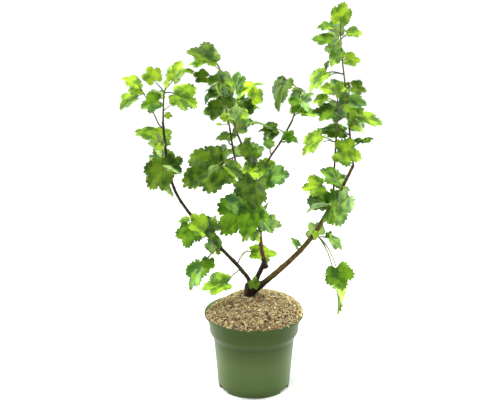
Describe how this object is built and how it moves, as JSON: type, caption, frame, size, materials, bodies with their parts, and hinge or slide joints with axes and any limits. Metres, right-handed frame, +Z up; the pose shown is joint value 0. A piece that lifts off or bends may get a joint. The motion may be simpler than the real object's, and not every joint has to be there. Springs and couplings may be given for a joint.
{
  "type": "potted jostaberry bush",
  "caption": "Young jostaberry bush with lobed leaves on sparse forking stems, in a round plant pot topped with wood-chip mulch.",
  "frame": {"origin": "centre of the pot's flat underside, on the ground", "axes": "+Z up along the pot's axis; the bush is seen from the front looking along +Y, with +X to the viewer's right"},
  "size_m": [0.47, 0.2704, 0.7405],
  "materials": {
    "pot": "satin moulded green plastic",
    "mulch": "loose dry wood chips",
    "stump": "rough dark bark",
    "bark": "smooth brown bark with pores",
    "foliage": "soft veined leaves, slightly glossy above"
  },
  "bodies": {
    "root": {"branch_1": "bark", "branch_2": "bark", "branch_3": "bark", "centre_foot": "bark", "centre_stem": "bark", "inner_shoot": "bark", "leaf_stump": "foliage", "leaves_branch_1": "foliage", "leaves_branch_3_left": "foliage", "leaves_branch_3_low": "foliage", "leaves_branch_3_right": "foliage", "leaves_centre_back": "foliage", "leaves_centre_front": "foliage", "leaves_centre_left": "foliage", "leaves_centre_stem": "foliage", "leaves_fork_left": "foliage", "leaves_fork_right": "foliage", "leaves_inner_front": "foliage", "leaves_inner_left": "foliage", "leaves_inner_low": "foliage", "leaves_inner_top": "foliage", "leaves_left_crown": "foliage", "leaves_left_low": "foliage", "leaves_left_lower": "foliage", "leaves_left_middle": "foliage", "leaves_left_side": "foliage", "leaves_left_upper": "foliage", "leaves_low_back": "foliage", "leaves_low_left": "foliage", "leaves_outer_back": "foliage", "leaves_outer_foot": "foliage", "leaves_outer_high": "foliage", "leaves_outer_left": "foliage", "leaves_outer_low": "foliage", "leaves_outer_middle": "foliage", "leaves_outer_top": "foliage", "leaves_right_foot": "foliage", "leaves_right_front": "foliage", "leaves_right_left": "foliage", "leaves_right_low": "foliage", "leaves_top_1": "foliage", "leaves_top_2": "foliage", "leaves_top_3": "foliage", "left_stem": "bark", "mulch": "mulch", "outer_shoot": "bark", "pot": "pot", "right_stem": "bark", "stump": "stump"}
  },
  "joints": []
}
